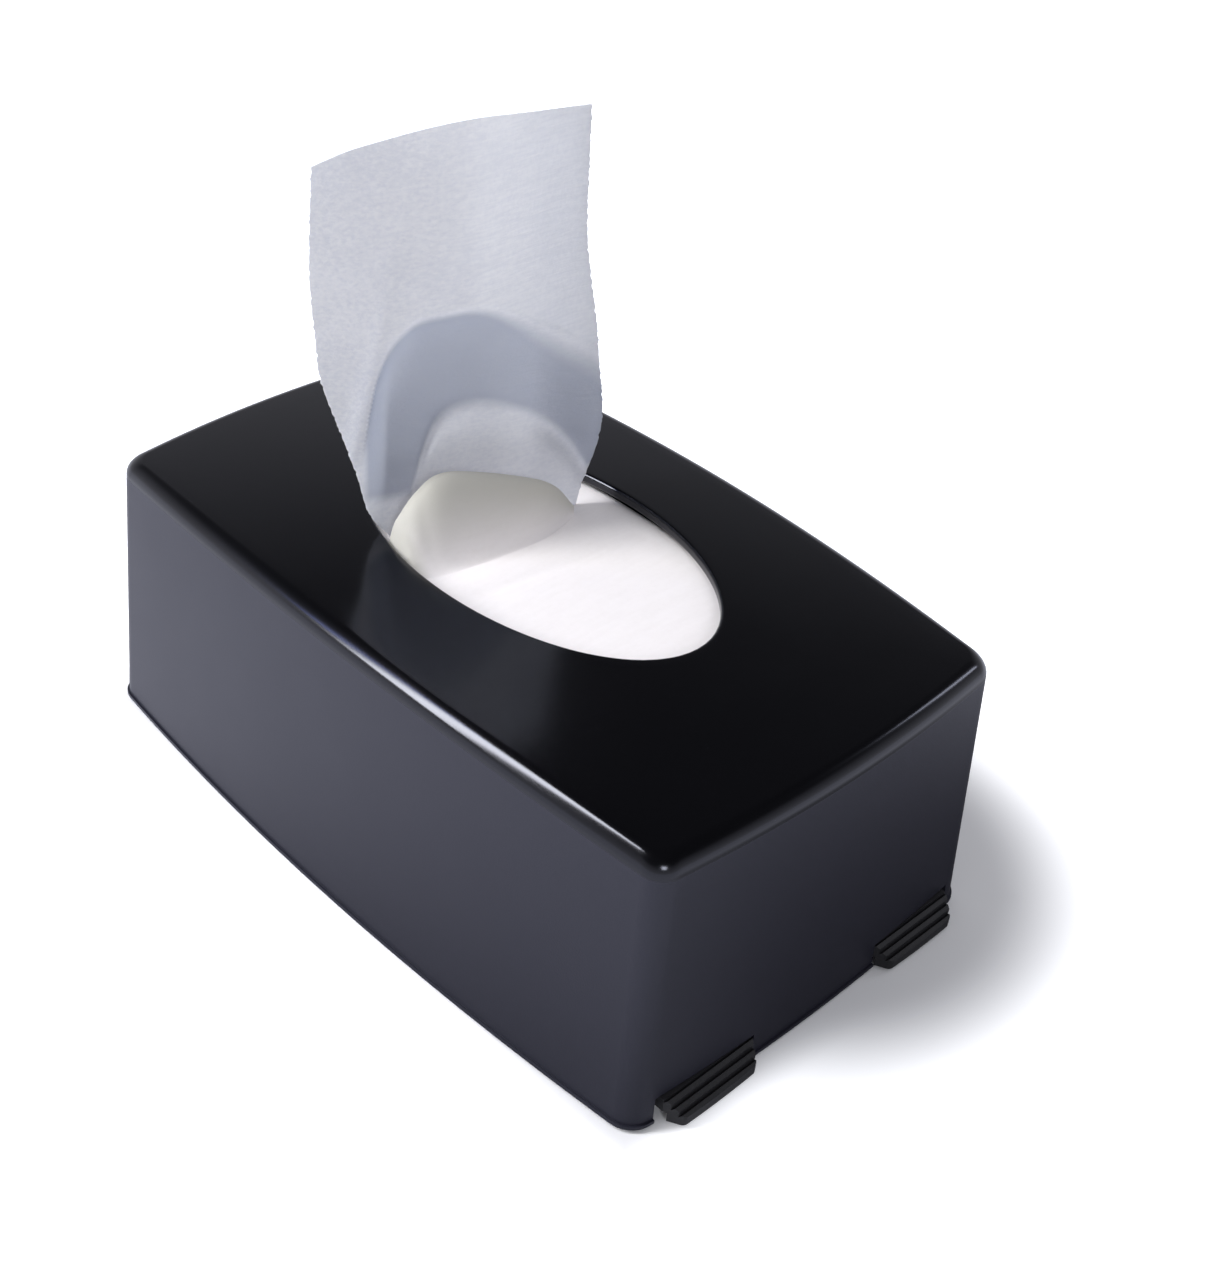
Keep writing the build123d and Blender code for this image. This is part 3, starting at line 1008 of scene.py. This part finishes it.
def makeRaisedLeaf(shape):
    # a ramp of paper: up from the stack in front, over a soft crest, down before the strip
    low, high = shape["crest"][0][0], shape["crest"][-1][0]
    forward = Vector((*standShape["forwardWay"], 0))
    crestAt = shape["crestAt"]

    def humpAt(c, s):
        u = low + (high - low) * c
        crest = standPoint(u, curveAt(shape["crest"], u), curveAt(shape["away"], u)) / mm
        if s < crestAt:
            share = s / crestAt
            spot = crest - forward * curveAt(shape["reach"], u) * (1 - share)
            lift = ease(share) ** shape["liftPower"]
        else:
            share = (s - crestAt) / (1 - crestAt)
            spot = crest + forward * shape["drop"] * share
            lift = 1 - shape["liftLoss"] * share**2
        lift *= rimRoom(spot.x * mm, spot.y * mm, shape["rimWidth"])
        floor = leafHeight(spot.x * mm, spot.y * mm) / mm - shape["sunk"]
        spot.z = floor + max(crest.z - floor, 0) * lift
        return spot * mm

    def shadeAt(c, s):
        # painted shadow of the standing strip on the raised leaf, strongest under the strip and towards
        # the leaf's left end
        start, width = shape["shadeLeft"]
        return shape["shade"] * max(easeFrom(s, *shape["shadeFront"]), ease((start - c) / width))

    grid = shape["across"], shape["along"]
    hump = makeSheet("raisedLeaf", *grid, humpAt, shape["thickness"], shadeAt)
    dress(hump, stackPaper)
    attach(hump, "base")
    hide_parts("raised_leaf")
    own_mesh(hump)


makeRaisedLeaf(humpShape)
print("raised leaf made")


springShape = {
    "middle": 34.1 * mm,
    "back": -80 * mm,
    "length": 10 * mm,
    "radius": 2.6 * mm,
    "wire": 0.6 * mm,
    "height": 8.6 * mm,
    "turns": 7,
    "steps": 28,
}


def makeSpring(name, side, shape):
    wire, turns = shape["wire"] / 2, shape["turns"]
    clearSelection()
    bpy.ops.mesh.primitive_circle_add(
        vertices=10,
        radius=wire,
        location=(shape["radius"] - wire, 0, 0),
        rotation=(math.radians(90), 0, 0),
    )
    spring = bpy.context.active_object
    spring.name = name
    applyPlace(spring)
    addModifier(
        spring,
        "SCREW",
        axis="Z",
        angle=math.tau * turns,
        screw_offset=shape["length"] - 2 * wire,
        steps=shape["steps"] * turns,
        render_steps=shape["steps"] * turns,
        use_merge_vertices=True,
    )
    startEdit(spring)
    bpy.ops.mesh.select_mode(type="EDGE")
    bpy.ops.mesh.select_non_manifold()
    bpy.ops.mesh.edge_face_add()
    bpy.ops.mesh.select_all(action="SELECT")
    bpy.ops.mesh.normals_make_consistent(inside=False)
    endEdit()
    spring.rotation_euler = (math.radians(-90), 0, 0)
    spring.location = (side * shape["middle"], shape["back"] + wire, shape["height"])
    settle(spring, 60)
    dress(spring, steel)
    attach(spring, "base")
    return spring


for name, side in (("left", -1), ("right", 1)):
    spring = makeSpring(f"{name}Spring", side, springShape)
    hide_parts(f"{name}_tab_spring")
    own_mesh(spring)
print("springs made")


# CAD pieces that stay get a finish only
for node, material in {
    "base_plate": matteBlack,
    "hinge_pin": steel,
    "left_release_tab": tabBlack,
    "right_release_tab": tabBlack,
    "front_left_foot": rubber,
    "front_right_foot": rubber,
    "rear_left_foot": rubber,
    "rear_right_foot": rubber,
}.items():
    dress(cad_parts[node], material)


roomLook = {
    "floorColour": (0.86, 0.86, 0.87, 1),
    "glow": (0.86, 0.87, 0.90, 1),
    "shadowPool": ((0.036, -0.062, 0), 0.046, 0.080),
    "footprint": (0.056, 0.094, 0),
    "contactWidth": 0.014,
    "mirrorPool": ((0.045, -0.055, 0), 0.06, 0.20),
    "mirror": ((0.07, 0.07, 0.08, 1), (1.05, 1.07, 1.22, 1)),
    "fill": (0.15, 0.50),
    "skyStops": [(0.04, 0.75), (0.44, 0.32), (0.60, 0.06), (0.80, 0.03)],
}


def makeFloor(look):
    # pale table; a glow seen only by the camera, a painted light, whitens it outside a pool round the case
    # and cuts the lamps' shadow short; glossy faces see a painted reflection, darker near the shadow
    clearSelection()
    bpy.ops.mesh.primitive_plane_add(size=12)
    floor = bpy.context.active_object
    floor.name = "tableTop"
    constants = {"Roughness": 0.9, "Specular IOR Level": 0.1, "Base Color": look["floorColour"]}
    made = makeFinish("paleTable", constants)
    spot = made.node("ShaderNodeTexCoord", {}, {}, "Object")
    camera = made.node("ShaderNodeLightPath", {}, {}, "Is Camera Ray")
    glossy = made.node("ShaderNodeLightPath", {}, {}, "Is Glossy Ray")

    def awayFrom(pool):
        middle, near, far = pool
        away = made.node("ShaderNodeVectorMath", {"operation": "DISTANCE"}, {0: spot, 1: middle}, "Value")
        return made.step(away, near, far)

    # no painted glow under the case or close beside it, where the lamps' shadow shows
    side = made.node("ShaderNodeVectorMath", {"operation": "ABSOLUTE"}, {0: spot})
    beyond = made.node("ShaderNodeVectorMath", {"operation": "SUBTRACT"}, {0: side, 1: look["footprint"]})
    beyondX, beyondY = (made.node("ShaderNodeSeparateXYZ", {}, {0: beyond}, name) for name in "XY")
    clear = made.node("ShaderNodeMath", {"operation": "MAXIMUM"}, {0: beyondX, 1: beyondY})
    share = camera * awayFrom(look["shadowPool"]) * made.step(clear, 0.0, look["contactWidth"])
    glow = made.blendColour(share, (0, 0, 0, 1), look["glow"])
    # painted reflection for glossy rays: dark near the case's shadow, bright and bluish further out
    mirror = made.blendColour(awayFrom(look["mirrorPool"]), *look["mirror"])
    paint = Wire(made, made.shader.outputs[0])
    lamp = made.node("ShaderNodeEmission", {}, {"Color": glow})
    shown = made.node("ShaderNodeAddShader", {}, {0: paint, 1: lamp})
    gloss = made.node("ShaderNodeEmission", {}, {"Color": mirror})
    table = made.node("ShaderNodeMixShader", {}, {0: glossy, 1: shown, 2: gloss})
    # from below the table is clear, so that the underside can be seen
    below = made.node("ShaderNodeNewGeometry", {}, {}, "Backfacing")
    hidden = made.node("ShaderNodeBsdfTransparent", {}, {})
    both = made.node("ShaderNodeMixShader", {}, {0: below, 1: table, 2: hidden})
    made.feed(made.tree.nodes["Material Output"].inputs["Surface"], both)
    dress(floor, made.owner)


def makeWorld(look):
    # white to the camera, a soft top light for the paint, a sky that darkens upwards for the gloss
    world = bpy.data.worlds.new("studio")
    bpy.context.scene.world = world
    made = Finish(world, {})
    direction = made.node("ShaderNodeTexCoord", {}, {}, "Generated")
    height = made.node("ShaderNodeSeparateXYZ", {}, {0: direction}, "Z")
    stops = [(place, (level, level, level * 1.08, 1)) for place, level in look["skyStops"]]
    sky = made.node("ShaderNodeValToRGB", {"stops": stops}, {0: height})
    glossy = made.node("ShaderNodeLightPath", {}, {}, "Is Glossy Ray")
    camera = made.node("ShaderNodeLightPath", {}, {}, "Is Camera Ray")
    low, high = ((level, level, level * 1.05, 1) for level in look["fill"])
    soft = made.blendColour(made.step(height, 0.0, 1.0), low, high)
    lit = made.blendColour(glossy, soft, sky)
    shown = made.blendColour(camera, lit, (1, 1, 1, 1))
    made.feed(made.tree.nodes["Background"].inputs["Color"], shown)


def addSoftbox(name, azimuth, height, distance, size, power, colour=(1, 1, 1)):
    # azimuth is measured from -X towards +Y, and height is above the table, both in degrees
    turn, rise = math.radians(azimuth), math.radians(height)
    way = Vector((-math.cos(turn) * math.cos(rise), math.sin(turn) * math.cos(rise), math.sin(rise)))
    data = bpy.data.lights.new(name, "AREA")
    data.shape = "RECTANGLE"
    data.size, data.size_y = size
    data.energy = power
    data.color = colour
    lamp = bpy.data.objects.new(name, data)
    bpy.context.scene.collection.objects.link(lamp)
    lamp.location = Vector((0, 0, 0.06)) + way * distance
    lamp.rotation_euler = way.to_track_quat("Z", "Y").to_euler()


makeFloor(roomLook)
makeWorld(roomLook)
addSoftbox("keyBox", 32, 38, distance=0.80, size=(0.16, 0.72), power=7.6)
addSoftbox("blueEdge", 43, 36, distance=0.80, size=(0.07, 0.45), power=0.35, colour=(0.25, 0.35, 1.0))
addSoftbox("frontBox", 203, 32, distance=1.1, size=(0.08, 0.26), power=0.5, colour=(0.85, 0.88, 1.0))
addSoftbox("stripBox", 300, 30, distance=1.3, size=(0.30, 0.30), power=3.4, colour=(0.93, 0.95, 1.0))


def makeCamera(place):
    level = Vector((0, 0, 1)).cross(viewBack).normalized()
    upright = viewBack.cross(level)
    right = level * math.cos(viewRoll) + upright * math.sin(viewRoll)
    up = upright * math.cos(viewRoll) - level * math.sin(viewRoll)
    data = bpy.data.cameras.new("camera")
    data.lens = place["lens"]
    data.sensor_width = 36
    data.clip_start, data.clip_end = 0.01, 50
    camera = bpy.data.objects.new("camera", data)
    bpy.context.scene.collection.objects.link(camera)
    turned = Matrix((right, up, viewBack)).transposed().to_4x4()
    camera.matrix_world = Matrix.Translation(cameraSpot) @ turned
    bpy.context.scene.camera = camera


makeCamera(cameraPlace)
bpy.context.scene.view_settings.view_transform = "Standard"
print("room and camera made")
